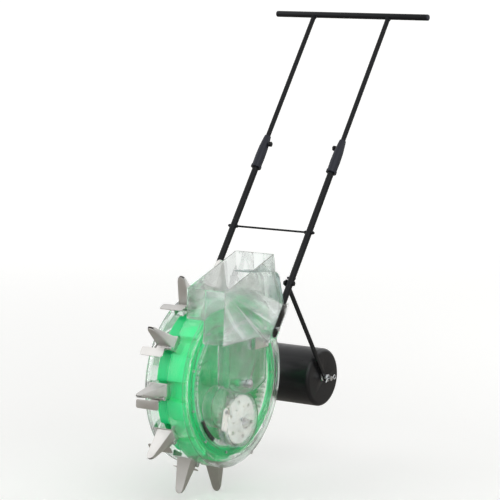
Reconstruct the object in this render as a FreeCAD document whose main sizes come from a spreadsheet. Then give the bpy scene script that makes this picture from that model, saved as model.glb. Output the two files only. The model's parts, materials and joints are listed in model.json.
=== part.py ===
"""Hand-pushed seeder with eleven opening beaks on a clear drum, a seed hopper and a press roller.

+X is the way it travels, +Y its left side, +Z up. Sizes are in millimetres. Pieces are drawn about the
drum's axle, and the whole machine is then moved so that the bottom centre of its box is the origin.
"""
import FreeCAD, Part
import math
import os
import Sketcher

from FreeCAD import Placement, Rotation, Vector

doc = FreeCAD.newDocument("seeder")

# ---------------------------------------------------------------- driving dimensions

SIZES = {
    # beaks and drum
    "tip_radius": 284, "ring_radius": 205, "beak_count": 11, "lowest_beak_deg": -7.1,
    "beak_plane": -16, "drum_half": 50, "disc_wall": 3, "lip_wall": 3, "lip_depth": 9,
    "ring_bore": 160, "collar_depth": 8, "skirt_end": 8, "tray_radius": 178, "tray_wall": 3, "tray_back": -34,
    "base_plate": 2, "base_seat": 4, "base_half": 18, "tab_depth": 14, "sheet": 1.5,
    "beak_root_half": 20, "beak_tip_half": 9, "beak_lead": 13, "beak_trail": 15,
    "flap_gap": 0.5, "flap_pin": 2.5, "knuckle_wall": 2.05, "flap_pin_x": 16, "flap_pin_rise": 7,
    "pedal_out": 54, "pedal_in": 10, "pedal_long": 21, "pedal_rise": 7,
    # hub and axle
    "axle_radius": 6, "running_gap": 0.05, "bush_wall": 1.95, "bush_long": 16, "hub_radius": 20,
    "hub_flange": 45, "hub_end": 40,
    # seed metering
    "tooth_pitch": 4, "ring_teeth": 72, "pinion_teeth": 28, "gear_face": 12, "gear_start": 34,
    "meter_radius": 58, "meter_face": 8, "meter_start": 67, "meter_shaft": 5, "seed_hole": 5,
    # side cover, chamber and hopper
    "cover_radius": 157.5, "cover_start": 52.5, "cover_lip": 63, "plastic_wall": 3,
    "boss_radius": 11, "funnel_half": 77, "funnel_drop": 22, "funnel_front": 98,
    "chamber_front": 82, "chamber_radius": 66, "front_cell_radius": 50,
    "front_cell_x": 80, "front_cell_z": -45, "hopper_left": 122, "hopper_right": 12,
    "hopper_nose": 130, "hopper_rim": 236, "hopper_back": -71, "hopper_peak": 302,
    "hopper_step": 257, "hopper_shelf": 176, "hopper_floor": 112, "arch_radius": 210,
    # handle frame
    "lean_deg": 36, "tube_offset": 110.5, "tube_radius": 8, "tube_bore": 6.5, "slide_radius": 6,
    "slide_bore": 4.8, "lower_top": 640, "tongue_thick": 4, "tongue_half": 10, "left_tongue": 137,
    "round_start": 222, "sleeve_low": 582, "sleeve_high": 674, "sleeve_radius": 12.5,
    "slide_end": 500, "bar_at": 1045, "bar_length": 445, "bar_radius": 8, "bar_bore": 6.8,
    "rod_at": 413, "rod_radius": 2.5, "pivot_at": 272, "pivot_radius": 4,
    # press roller
    "roller_radius": 72.5, "roller_half": 82, "roller_wall": 3, "roller_round": 9,
    "roller_back": 361, "roller_drop": 45.6, "arm_width": 12, "arm_thick": 4, "roller_axle": 6,
}

sheet = doc.addObject("Spreadsheet::Sheet", "Dims")
for row, (word, value) in enumerate(SIZES.items(), start=1):
    sheet.set(f"A{row}", word)
    sheet.set(f"B{row}", str(value))
    sheet.setAlias(f"B{row}", word)
doc.recompute()
D = {word: float(sheet.get(word)) for word in SIZES}


class Size:
    """A number that also knows its expression over the sheet."""

    def __init__(self, text, value):
        self.text, self.value = text, value

    def joined(self, sign, other, value):
        return Size(f"({self.text} {sign} {text_of(other)})", value)

    def __add__(self, other):
        return self.joined("+", other, self.value + float(other))

    def __sub__(self, other):
        return self.joined("-", other, self.value - float(other))

    def __mul__(self, other):
        return self.joined("*", other, self.value * float(other))

    def __truediv__(self, other):
        return self.joined("/", other, self.value / float(other))

    def __neg__(self):
        return Size(f"(0 - {self.text})", -self.value)

    def __float__(self):
        return self.value


def text_of(size):
    """The expression of a size, or of a plain number."""
    return size.text if isinstance(size, Size) else f"{size:.6f}"


class Sheet:
    """Every word of the sheet as a Size, so that a feature can be bound to it."""

    def __getattr__(self, word):
        return Size(f"Dims.{word}", D[word])


S = Sheet()

BEAKS = int(D["beak_count"])
PITCH_DEG = 360.0 / BEAKS
LEAN = math.radians(D["lean_deg"])
X_AXIS, Y_AXIS, Z_AXIS = Vector(1, 0, 0), Vector(0, 1, 0), Vector(0, 0, 1)
LEFT, RIGHT = 1, -1
SIDES = (("left", LEFT), ("right", RIGHT))
WASHER_GAP = 0.5

pieces = []                      # the finished sub-parts, in the order they are made


# ---------------------------------------------------------------- helpers

def bind(obj, **sizes):
    """Ties properties of a feature to expressions over the sheet."""
    for prop, size in sizes.items():
        obj.setExpression(prop, text_of(size))
    return obj


def add(kind, name):
    return doc.addObject(kind, name)


def finish(obj, label):
    """Names a sub-part's file and keeps it for the export."""
    obj.Label = label
    pieces.append(obj)
    return obj


def along_y(y=0.0, x=0.0, z=0.0):
    """A placement that turns a feature's Z to +Y, with its start at x, y, z."""
    return Placement(Vector(x, y, z), Rotation(X_AXIS, -90))


def rod(name, radius, length, placement):
    """A cylinder whose radius and length are expressions."""
    cylinder = bind(add("Part::Cylinder", name), Radius=radius, Height=length)
    cylinder.Placement = placement
    return cylinder


def slab(name, length, width, height, placement):
    box = bind(add("Part::Box", name), Length=length, Width=width, Height=height)
    box.Placement = placement
    return box


def fuse(name, shapes):
    joined = add("Part::MultiFuse", name)
    joined.Shapes = shapes
    return joined


def cut(name, base, tools):
    tools = tools if isinstance(tools, list) else [tools]
    result = add("Part::Cut", name)
    result.Base = base
    result.Tool = tools[0] if len(tools) == 1 else fuse(name + "_tools", tools)
    return result


def solid(name, shape):
    """A shape that Part's own functions make, as a feature."""
    feature = add("Part::Feature", name)
    feature.Shape = shape
    return feature


def origin_plane(body, role):
    return [f for f in body.Origin.OriginFeatures if f.Role == role][0]


def closed_sketch(body, plane, points):
    """A closed outline: each corner is a pair of sizes, held from the sketch's origin."""
    sketch = body.newObject("Sketcher::SketchObject", body.Name + "_outline")
    sketch.AttachmentSupport = [(origin_plane(body, plane), "")]
    sketch.MapMode = "FlatFace"
    corners = [Vector(float(x), float(y), 0) for x, y in points]
    for start, end in zip(corners, corners[1:] + corners[:1]):
        sketch.addGeometry(Part.LineSegment(start, end), False)
    count = len(corners)
    for i in range(count):
        sketch.addConstraint(Sketcher.Constraint("Coincident", i, 2, (i + 1) % count, 1))
    for i, (x, y) in enumerate(points):
        for kind, size in (("DistanceX", x), ("DistanceY", y)):
            index = sketch.addConstraint(Sketcher.Constraint(kind, -1, 1, i, 1, float(size)))
            if isinstance(size, Size):
                sketch.setExpression(f"Constraints[{index}]", size.text)
    return sketch


def turned(name, points):
    """A body turned about the Y axis from an outline of (radius, y) corners."""
    body = add("PartDesign::Body", name)
    outline = closed_sketch(body, "XY_Plane", points)
    revolution = body.newObject("PartDesign::Revolution", name + "_turn")
    revolution.Profile = outline
    revolution.ReferenceAxis = (outline, ["V_Axis"])
    revolution.Angle = 360
    body.Tip = revolution
    return body


def ring_points(inner, outer, low, high):
    return [(inner, low), (outer, low), (outer, high), (inner, high)]


def hexagon(across, height, centre, y):
    """A hexagon nut's blank along Y."""
    radius = across / math.sqrt(3)
    corners = [Vector(centre.x + radius * math.cos(math.radians(60 * k)), y,
                      centre.z + radius * math.sin(math.radians(60 * k))) for k in range(6)]
    face = Part.Face(Part.makePolygon(corners + corners[:1]))
    return face.extrude(Vector(0, height, 0))


def pin_shape(radius, length, centre, y):
    return Part.makeCylinder(radius, length, Vector(centre.x, y, centre.z), Y_AXIS)


def nut(radius, across, height, centre, y):
    return hexagon(across, height, centre, y).cut(pin_shape(radius, height, centre, y))


def tube_point(distance, rear=0.0):
    """A point of the handle's centre line, at a distance up from the axle, moved to the rear."""
    return Vector(-math.sin(LEAN) * distance - math.cos(LEAN) * rear, 0,
                  math.cos(LEAN) * distance - math.sin(LEAN) * rear)


def up_tube(distance, y):
    """A placement whose Z runs up the handle tubes, with its Y across them."""
    point = tube_point(distance)
    return Placement(Vector(point.x, y, point.z), Rotation(Y_AXIS, -D["lean_deg"]))


def beak_turn(index):
    """Turns what is drawn pointing straight down to the place of one beak."""
    return Placement(Vector(), Rotation(Y_AXIS, -(D["lowest_beak_deg"] + index * PITCH_DEG)))


def copies(shape, placements):
    made = []
    for placement in placements:
        twin = shape.copy()
        twin.Placement = placement.multiply(twin.Placement)
        made.append(twin)
    return Part.makeCompound(made)


def all_beaks(shape):
    return copies(shape, [beak_turn(k) for k in range(BEAKS)])



# ---------------------------------------------------------------- axle

axle_low, axle_high = -124.0, 108.0
axle = rod("axle_bar", S.axle_radius, axle_high - axle_low, along_y(axle_low))
chamfered = add("Part::Chamfer", "axle_chamfer")
chamfered.Base = axle
doc.recompute()
round_edges = [i + 1 for i, e in enumerate(axle.Shape.Edges) if e.Curve.TypeId == "Part::GeomCircle"]
chamfered.Edges = [(i, 1.0, 1.0) for i in round_edges]
finish(chamfered, "axle")

centre = Vector()
tongue_outer = D["tube_offset"] + D["tongue_thick"] / 2
finish(solid("axle_nuts_feature", Part.makeCompound([
    nut(D["axle_radius"], 19, 8, centre, -tongue_outer - 8),
    nut(D["axle_radius"], 19, 7, centre, D["funnel_front"]),
])), "axle_nuts")

spacer_high = -D["drum_half"] - D["disc_wall"] - 1
spacer_low = -D["tube_offset"] + D["tongue_thick"] / 2
spacer = cut("axle_spacer_cut",
             rod("spacer_outer", S.axle_radius + 4, spacer_high - spacer_low, along_y(spacer_low)),
             rod("spacer_bore", S.axle_radius, spacer_high - spacer_low, along_y(spacer_low)))
finish(spacer, "axle_spacer")

boss_bore = S.boss_radius - 2.5
sleeve_start = D["hub_end"] + WASHER_GAP
thrust = cut("thrust_cut",
             rod("thrust_outer", S.boss_radius - 2.7, 32, along_y(sleeve_start)),
             rod("thrust_bore", S.axle_radius, 32, along_y(sleeve_start)))
finish(thrust, "thrust_sleeve")


def coil(radius, wire, length, turns):
    """A coil along Z from 0, its turns drawn as rings that lean each way in turn and touch at the sides."""
    pitch = length / turns
    lean = math.degrees(math.asin((pitch - 0.5 * wire) / (2 * radius)))
    rings = []
    for k in range(turns):
        ring = Part.makeTorus(radius, wire)
        ring.rotate(Vector(), Y_AXIS, lean if k % 2 else -lean)
        ring.translate(Vector(0, 0, (k + 0.5) * pitch))
        rings.append(ring)
    return rings[0].multiFuse(rings[1:]).removeSplitter()


spring_wire = 0.7
spring_start = sleeve_start + 32 + 2 * spring_wire
spring_long = D["funnel_front"] - 2 * D["plastic_wall"] - 2 * spring_wire - spring_start
axle_spring = solid("axle_spring_feature", coil(D["axle_radius"] + 1.3, spring_wire, spring_long, 5))
axle_spring.Placement = along_y(spring_start)
finish(axle_spring, "axle_spring")

# ---------------------------------------------------------------- hub

screw_radius = 2.0
hub_screw_circle = D["hub_flange"] - 12
outer_side = D["drum_half"] + D["disc_wall"]


def ring_of_pins(circle, count, radius, low, high, phase=0.0):
    """Pins along Y round the axle, for screws and for the holes they pass."""
    return [pin_shape(radius, high - low, point, low) for point in circle_points(circle, count, phase)]


def circle_points(circle, count, phase=0.0):
    return [Vector(circle * math.sin(math.radians(phase + 360 * k / count)), 0,
                   -circle * math.cos(math.radians(phase + 360 * k / count))) for k in range(count)]


hub_points = [
    (S.axle_radius + S.running_gap + S.bush_wall, -(S.drum_half + S.disc_wall)),
    (S.hub_radius, -(S.drum_half + S.disc_wall)),
    (S.hub_radius, -S.drum_half),
    (S.hub_flange, -S.drum_half),
    (S.hub_flange, -S.drum_half + 4),
    (S.hub_radius, -S.drum_half + 4),
    (S.hub_radius, S.tray_back + S.tray_wall),
    (S.hub_flange - 4, S.tray_back + S.tray_wall),
    (S.hub_flange - 4, S.tray_back + S.tray_wall + 4),
    (S.hub_radius, S.tray_back + S.tray_wall + 4),
    (S.hub_radius, S.hub_end),
    (S.axle_radius + S.running_gap + S.bush_wall, S.hub_end),
]
hub_holes = solid("hub_holes", Part.makeCompound(
    ring_of_pins(hub_screw_circle, 6, screw_radius, -D["drum_half"], -D["drum_half"] + 4)))
finish(cut("hub_cut", turned("hub_body", hub_points), hub_holes), "hub")

bush_shapes = []
for y in (-D["drum_half"] - D["disc_wall"], D["hub_end"] - D["bush_long"]):
    whole = pin_shape(D["axle_radius"] + D["running_gap"] + D["bush_wall"], D["bush_long"], centre, y)
    bush_shapes.append(whole.cut(pin_shape(D["axle_radius"] + D["running_gap"], D["bush_long"], centre, y)))
finish(solid("hub_bushes_feature", Part.makeCompound(bush_shapes)), "hub_bushes")

# ---------------------------------------------------------------- clear drum walls

tab_screw_radius = D["ring_radius"] - D["base_seat"] - D["base_plate"] - D["tab_depth"] / 2


def beak_pins(radius, low, high):
    """Two pins beside each other at each beak's base."""
    spread = 11.0
    pair = Part.makeCompound([pin_shape(radius, high - low, Vector(x, 0, -tab_screw_radius), low)
                              for x in (-spread, spread)])
    return all_beaks(pair)


disc = turned("disc_right_body", [
    (S.hub_radius, -S.drum_half - S.disc_wall),
    (98, -S.drum_half - S.disc_wall),
    (98, -S.drum_half - S.disc_wall - 3),
    (101, -S.drum_half - S.disc_wall - 3),
    (101, -S.drum_half - S.disc_wall),
    (148, -S.drum_half - S.disc_wall),
    (148, -S.drum_half - S.disc_wall - 3),
    (151, -S.drum_half - S.disc_wall - 3),
    (151, -S.drum_half - S.disc_wall),
    (S.ring_radius, -S.drum_half - S.disc_wall),
    (S.ring_radius, -S.drum_half - S.disc_wall + S.lip_depth),
    (S.ring_radius - S.lip_wall, -S.drum_half - S.disc_wall + S.lip_depth),
    (S.ring_radius - S.lip_wall, -S.drum_half),
    (S.hub_radius, -S.drum_half),
])
disc_holes = solid("disc_right_holes", Part.makeCompound(
    ring_of_pins(hub_screw_circle, 6, screw_radius, -outer_side - 1, -D["drum_half"] + 1)
    + [beak_pins(screw_radius, -outer_side - 1, -D["drum_half"] + 1)]))
finish(cut("disc_right_cut", disc, disc_holes), "drum_disc_right")

ring = turned("ring_left_body", [
    (S.ring_bore, S.drum_half),
    (S.ring_radius - S.lip_wall, S.drum_half),
    (S.ring_radius - S.lip_wall, S.skirt_end),
    (S.ring_radius, S.skirt_end),
    (S.ring_radius, S.drum_half + S.disc_wall),
    (S.ring_radius - 16, S.drum_half + S.disc_wall),
    (S.ring_radius - 16, S.drum_half + S.disc_wall + 2),
    (S.ring_radius - 18, S.drum_half + S.disc_wall + 2),
    (S.ring_radius - 18, S.drum_half + S.disc_wall),
    (S.ring_bore + 14, S.drum_half + S.disc_wall),
    (S.ring_bore + 14, S.drum_half + S.disc_wall + 3),
    (S.ring_bore + 12, S.drum_half + S.disc_wall + 3),
    (S.ring_bore + 12, S.drum_half + S.disc_wall),
    (S.ring_bore + 3, S.drum_half + S.disc_wall),
    (S.ring_bore + 3, S.drum_half + S.disc_wall + S.collar_depth),
    (S.ring_bore, S.drum_half + S.disc_wall + S.collar_depth),
])
ring_screw_circle = D["ring_bore"] + 7.5
ring_holes = solid("ring_left_holes", Part.makeCompound(
    ring_of_pins(ring_screw_circle, BEAKS, screw_radius, D["drum_half"] - 1, outer_side + 1,
                 D["lowest_beak_deg"] + PITCH_DEG / 2)))
scallop = Part.makeCylinder(30, 40, Vector(0, D["skirt_end"] - 18, -D["ring_radius"] - 10), Z_AXIS)
finish(cut("ring_left_cut", ring, [ring_holes, solid("skirt_scallops", all_beaks(scallop))]),
       "drum_ring_left")


def screws(places, head_radius, head_height, length, outward):
    """Round-headed screws whose shanks start at their heads; places are (point, y of the seat)."""
    made = []
    for point, seat in places:
        head_low = seat if outward > 0 else seat - head_height
        shank_low = seat - length if outward > 0 else seat
        made.append(pin_shape(head_radius, head_height, point, head_low)
                    .fuse(pin_shape(screw_radius, length, point, shank_low)).removeSplitter())
    return made


tab_points = []
for k in range(BEAKS):
    for x in (-11.0, 11.0):
        tab_points.append(beak_turn(k).multVec(Vector(x, 0, -tab_screw_radius)))
tab_reach = D["disc_wall"] + D["base_plate"]
finish(solid("beak_screws_feature", Part.makeCompound(
    screws([(p, -outer_side) for p in tab_points], 3.8, 2.2, tab_reach, RIGHT))), "beak_screws")
finish(solid("hub_screws_feature", Part.makeCompound(
    screws([(p, -outer_side) for p in circle_points(hub_screw_circle, 6)], 4, 2.5,
           D["disc_wall"] + 4, RIGHT)
    + screws([(p, outer_side) for p in circle_points(ring_screw_circle, BEAKS,
                                                     D["lowest_beak_deg"] + PITCH_DEG / 2)],
             3.2, 2, D["disc_wall"] + D["tray_wall"], LEFT))), "drum_screws")

# ---------------------------------------------------------------- green seed tray and its gear

ring_pitch = D["tooth_pitch"] * D["ring_teeth"] / 2
pinion_pitch = D["tooth_pitch"] * D["pinion_teeth"] / 2
meter_drop = ring_pitch - pinion_pitch
gear_rim = ring_pitch + 9

tray = turned("tray_body", [
    (S.hub_radius, S.tray_back),
    (S.tray_radius, S.tray_back),
    (S.tray_radius, S.drum_half),
    (S.tooth_pitch * S.ring_teeth / 2 + 9, S.drum_half),
    (S.tooth_pitch * S.ring_teeth / 2 + 9, S.drum_half - S.tray_wall),
    (S.tray_radius - S.tray_wall, S.drum_half - S.tray_wall),
    (S.tray_radius - S.tray_wall, S.tray_back + S.tray_wall),
    (S.hub_radius, S.tray_back + S.tray_wall),
])
window = Part.makeBox(22, 24, 20, Vector(-11, D["beak_plane"] - 12, -D["tray_radius"] - 10))
tray_cuts = solid("tray_cuts", Part.makeCompound(
    [all_beaks(window)]
    + ring_of_pins(ring_screw_circle, BEAKS, screw_radius, D["drum_half"] - D["tray_wall"] - 1,
                   D["drum_half"] + 1, D["lowest_beak_deg"] + PITCH_DEG / 2)
    + ring_of_pins(hub_screw_circle, 6, screw_radius, D["tray_back"] - 1,
                   D["tray_back"] + D["tray_wall"] + 1)))
finish(cut("tray_cut", tray, tray_cuts), "seed_tray")


def arc_pad(inner, outer, low, high, half_deg):
    """A block that follows the drum's curve, centred straight down."""
    ring_block = Part.makeCylinder(outer, high - low, Vector(0, low, 0), Y_AXIS, 2 * half_deg)
    core = Part.makeCylinder(inner, high - low, Vector(0, low, 0), Y_AXIS, 2 * half_deg)
    block = ring_block.cut(core).Solids[0]
    middle = block.CenterOfMass
    now = math.degrees(math.atan2(middle.x, -middle.z))
    block.rotate(Vector(), Y_AXIS, now)
    return block


pocket_low, pocket_split, pocket_high = D["tray_back"], D["beak_plane"] + 8, D["drum_half"] - 6
pocket_outer = D["tray_radius"] + 8
deep = arc_pad(D["tray_radius"], pocket_outer, pocket_low, pocket_split, 10.2)
light = arc_pad(D["tray_radius"], pocket_outer + 5, pocket_split, pocket_high, 9.2)
rounded = light.makeFillet(4.0, [e for e in light.Edges
                                 if abs(e.CenterOfMass.Length) > pocket_outer
                                 and e.BoundBox.YLength < 1.0])
pocket = deep.fuse(rounded).removeSplitter()
half_turn = Placement(Vector(), Rotation(Y_AXIS, -PITCH_DEG / 2))
finish(solid("pockets_feature", copies(pocket, [beak_turn(k).multiply(half_turn)
                                                for k in range(BEAKS)])), "seed_pockets")


def toothed(pitch, teeth, addendum, dedendum, tooth_mid, tip_share, internal):
    """Corner points of a toothed outline in X and Z, with a tooth straight down or, inside, a gap."""
    points = []
    step = 2 * math.pi / teeth
    root = pitch + dedendum if internal else pitch - dedendum
    tip = pitch - addendum if internal else pitch + addendum
    base_half = tooth_mid / 2 * 1.5 / root
    tip_half = tooth_mid / 2 * tip_share / tip
    phase = 0.5 if internal else 0.0
    for k in range(teeth):
        middle = (k + phase) * step
        for radius, angle in ((root, middle - base_half), (tip, middle - tip_half),
                              (tip, middle + tip_half), (root, middle + base_half)):
            points.append(Vector(radius * math.sin(angle), 0, -radius * math.cos(angle)))
    return points


def gear_face_of(points):
    return Part.Face(Part.makePolygon(points + points[:1]))


inner_outline = gear_face_of(toothed(ring_pitch, int(D["ring_teeth"]), 1.8, 4.5, 6.0, 0.65, True))
gear_blank = pin_shape(gear_rim, D["drum_half"] - D["gear_start"], centre, D["gear_start"])
teeth_hole = inner_outline.extrude(Vector(0, D["drum_half"] - D["gear_start"], 0))
teeth_hole.translate(Vector(0, D["gear_start"], 0))
finish(solid("ring_gear_feature", gear_blank.cut(teeth_hole)), "ring_gear")

# ---------------------------------------------------------------- seed metering wheel

meter_centre = Vector(0, 0, -meter_drop)
pinion = gear_face_of(toothed(pinion_pitch, int(D["pinion_teeth"]), 2.0, 3.5, 6.0, 0.65, False))
pinion = pinion.extrude(Vector(0, D["gear_face"], 0))
pinion.translate(meter_centre + Vector(0, D["gear_start"] + 1, 0))
hub_bore = pin_shape(D["meter_shaft"], D["gear_face"], meter_centre, D["gear_start"] + 1)
lightening = [pin_shape(9, D["gear_face"], meter_centre + Vector(30 * math.cos(a), 0, 30 * math.sin(a)),
                        D["gear_start"] + 1) for a in [2 * math.pi * k / 5 for k in range(5)]]
finish(solid("pinion_feature", pinion.cut(Part.makeCompound([hub_bore] + lightening))),
       "metering_pinion")

meter_disc = rod("meter_blank", S.meter_radius, S.meter_face,
                 along_y(D["meter_start"], 0, -meter_drop))
hole_places = [(D["meter_radius"] - 15, D["seed_hole"], 6, 12), (D["meter_radius"] - 27, 2.2, 6, 40)]
meter_holes = [pin_shape(D["meter_shaft"], D["meter_face"], meter_centre, D["meter_start"])]
for circle, radius, count, phase in hole_places:
    for k in range(count):
        angle = math.radians(phase + 360 * k / count)
        meter_holes.append(pin_shape(radius, D["meter_face"], meter_centre
                                     + Vector(circle * math.sin(angle), 0, circle * math.cos(angle)),
                                     D["meter_start"]))
for k in range(24):
    angle = math.radians(15 * k)
    meter_holes.append(pin_shape(2.5, D["meter_face"], meter_centre
                                 + Vector(D["meter_radius"] * math.sin(angle), 0,
                                          D["meter_radius"] * math.cos(angle)), D["meter_start"]))
finish(cut("meter_cut", meter_disc, solid("meter_holes", Part.makeCompound(meter_holes))),
       "metering_disc")

shaft_low = D["gear_start"] - 2
shaft_high = D["chamber_front"] + 3
finish(rod("meter_shaft_bar", S.meter_shaft, shaft_high - shaft_low,
           along_y(shaft_low, 0, -meter_drop)), "metering_shaft")

# ---------------------------------------------------------------- side cover

wall = D["plastic_wall"]
cover = turned("side_cover_body", [
    (boss_bore, S.cover_start),
    (S.cover_radius, S.cover_start),
    (S.cover_radius, S.cover_lip),
    (S.cover_radius - S.plastic_wall, S.cover_lip),
    (S.cover_radius - S.plastic_wall, S.cover_start + S.plastic_wall),
    (S.boss_radius, S.cover_start + S.plastic_wall),
    (S.boss_radius, S.funnel_front - S.plastic_wall),
    (S.axle_radius, S.funnel_front - S.plastic_wall),
    (S.axle_radius, S.funnel_front - S.plastic_wall * 2),
    (boss_bore, S.funnel_front - S.plastic_wall * 2),
])
shaft_hole = rod("cover_shaft_hole", S.meter_shaft + S.running_gap, S.plastic_wall + 2,
                 along_y(D["cover_start"] - 1, 0, -meter_drop))
seed_drop = rod("cover_seed_drop", 9, S.plastic_wall + 2,
                along_y(D["cover_start"] - 1, 50, -meter_drop - 18))
finish(cut("side_cover_cut", cover, [shaft_hole, seed_drop]), "side_cover")

# ---------------------------------------------------------------- hopper


def outline_face(points, y):
    corners = [Vector(x, y, z) for x, z in points]
    return Part.Face(Part.makePolygon(corners + corners[:1]))


def prism(points, low, high):
    return outline_face(points, low).extrude(Vector(0, high - low, 0))


def inset(points, distance):
    """The outline moved inward by a wall's thickness, corner by corner."""
    area = sum(x0 * z1 - x1 * z0 for (x0, z0), (x1, z1) in zip(points, points[1:] + points[:1]))
    turn = 1.0 if area > 0 else -1.0
    moved = []
    for i, (x, z) in enumerate(points):
        (ax, az), (bx, bz) = points[i - 1], points[(i + 1) % len(points)]
        ux, uz = x - ax, z - az
        vx, vz = bx - x, bz - z
        ul, vl = math.hypot(ux, uz), math.hypot(vx, vz)
        n1 = (-uz / ul * turn, ux / ul * turn)
        n2 = (-vz / vl * turn, vx / vl * turn)
        scale = distance / (1 + n1[0] * n2[0] + n1[1] * n2[1])
        moved.append((x + (n1[0] + n2[0]) * scale, z + (n1[1] + n2[1]) * scale))
    return moved


channel = D["tube_radius"] + 5.0


def beside_tube(z, ahead):
    """X of the line that runs a distance ahead of the tube's centre line, at a height."""
    return -math.tan(LEAN) * z + ahead / math.cos(LEAN)


shelf_x = beside_tube(D["hopper_shelf"], channel)
foot_z = D["hopper_floor"] - 20
foot_x = beside_tube(foot_z, channel)
box_outline = [
    (D["hopper_nose"] + 8, D["hopper_floor"]), (D["hopper_nose"], D["hopper_rim"]),
    (D["hopper_back"], D["hopper_peak"]), (D["hopper_back"] - 6, D["hopper_step"]),
    (shelf_x, D["hopper_shelf"]), (foot_x, foot_z), (foot_x + 40, D["hopper_floor"]),
]
above_arch = [
    (D["hopper_nose"], 120), (D["hopper_nose"], D["hopper_rim"]),
    (D["hopper_back"], D["hopper_peak"]), (D["hopper_back"] - 6, D["hopper_step"]),
    (shelf_x, D["hopper_shelf"]), (shelf_x, 120),
]
open_top = [(D["hopper_nose"] - wall, D["hopper_rim"] - 30), (D["hopper_nose"] - wall, 400),
            (D["hopper_back"] + wall, 400), (D["hopper_back"] + wall, D["hopper_peak"] - 30)]
cover_lip, left_face = D["cover_lip"], D["hopper_left"]
arch = pin_shape(D["arch_radius"], 400, centre, -200)
arch_inside = pin_shape(D["arch_radius"] + wall, 400, centre, -200)

outer_box = prism(box_outline, cover_lip, left_face)
outer_wing = prism(above_arch, D["hopper_right"], cover_lip).cut(arch)
inner_box = prism(inset(box_outline, wall), cover_lip + wall, left_face - wall)
inner_wing = prism(inset(above_arch, wall), D["hopper_right"] + wall, cover_lip + wall).cut(arch_inside)
mouth = prism(open_top, D["hopper_right"] + wall, left_face - wall)

funnel_half, funnel_drop = D["funnel_half"], D["funnel_drop"]
funnel_top = D["hopper_floor"] + 6


def funnel(half, drop, low, high, top):
    """A trough with straight sides and a shallow round bottom."""
    a, b, c = Vector(half, low, 0), Vector(0, low, -drop), Vector(-half, low, 0)
    wire = Part.Wire([Part.LineSegment(Vector(-half, low, top), Vector(half, low, top)).toShape(),
                      Part.LineSegment(Vector(half, low, top), a).toShape(),
                      Part.Arc(a, b, c).toShape(),
                      Part.LineSegment(c, Vector(-half, low, top)).toShape()])
    return Part.Face(wire).extrude(Vector(0, high - low, 0))


outer_funnel = funnel(funnel_half, funnel_drop, cover_lip, D["funnel_front"], funnel_top)
inner_funnel = funnel(funnel_half - wall, funnel_drop - wall, cover_lip + wall,
                      D["funnel_front"] - wall, D["hopper_floor"] + wall + 12)
flange_outline = [(shelf_x - 24, D["hopper_shelf"]), (shelf_x + 4, D["hopper_shelf"]),
                  (foot_x + 4, foot_z), (beside_tube(foot_z, -11), foot_z),
                  (beside_tube(D["hopper_shelf"] - 8, -11), D["hopper_shelf"] - 8)]
flange = prism(flange_outline, left_face - wall, left_face)
hopper_outer = outer_box.multiFuse([outer_wing, outer_funnel, flange])
hopper_inner = inner_box.multiFuse([inner_wing, inner_funnel, mouth])
feed_slot = Part.makeBox(30, 10, 13, Vector(funnel_half - 25, cover_lip + 6, -17))
left_bolt = tube_point(D["left_tongue"] + 12)
bolt_radius = 3.0
hopper_shape = hopper_outer.cut(hopper_inner).cut(Part.makeCompound([
    pin_shape(D["boss_radius"], wall + 2, centre, cover_lip - 1),
    pin_shape(D["axle_radius"], wall + 2, centre, D["funnel_front"] - wall - 1),
    pin_shape(bolt_radius, wall + 2, left_bolt, left_face - wall - 1),
    feed_slot,
])).removeSplitter()
whole_width = 400
for name, low, high in (("hopper", cover_lip, left_face - wall),
                        ("hopper_wing", D["hopper_right"] - 1, cover_lip),
                        ("hopper_panel", left_face - wall, left_face + 1)):
    share = hopper_shape.common(Part.makeBox(2 * whole_width, high - low, 2 * whole_width,
                                             Vector(-whole_width, low, -whole_width)))
    finish(solid(f"{name}_feature", share.removeSplitter()), name)

# ---------------------------------------------------------------- metering chamber

cell_centre = Vector(D["front_cell_x"], 0, D["front_cell_z"])
chamber_front = D["chamber_front"]


def chamber(shrink, low, high):
    return pin_shape(D["chamber_radius"] - shrink, high - low, meter_centre, low).fuse(
        pin_shape(D["front_cell_radius"] - shrink, high - low, cell_centre, low))


shell = chamber(0, D["cover_start"] + wall, chamber_front).cut(
    chamber(wall, D["cover_start"] + wall - 1, chamber_front - wall))
clear_of_funnel = funnel(funnel_half, funnel_drop, cover_lip, D["funnel_front"], funnel_top)
boss_room = pin_shape(D["boss_radius"], 60, centre, D["cover_start"])
lever_pivot = Vector(D["front_cell_x"] - 6, 0, D["front_cell_z"] - 12)
chamber_shape = shell.cut(Part.makeCompound([
    clear_of_funnel, boss_room,
    pin_shape(D["meter_shaft"] + D["running_gap"], wall + 2, meter_centre, chamber_front - wall - 1),
    pin_shape(screw_radius, wall + 2, lever_pivot, chamber_front - wall - 1),
])).removeSplitter()
largest = max(chamber_shape.Solids, key=lambda s: s.Volume)
finish(solid("chamber_feature", largest), "metering_chamber")

lever_long, lever_half, lever_thick = 36.0, 9.0, 3.0
lever_turn = Placement(lever_pivot, Rotation(Y_AXIS, -12))
lever_low = chamber_front + 0.4


def oblong(half, length, thick, low):
    """A plate with round ends that hangs from the origin along -Z."""
    plate = Part.makeBox(2 * half, thick, length, Vector(-half, low, -length))
    return plate.fuse([pin_shape(half, thick, Vector(), low),
                       pin_shape(half, thick, Vector(0, 0, -length), low)]).removeSplitter()


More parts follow.
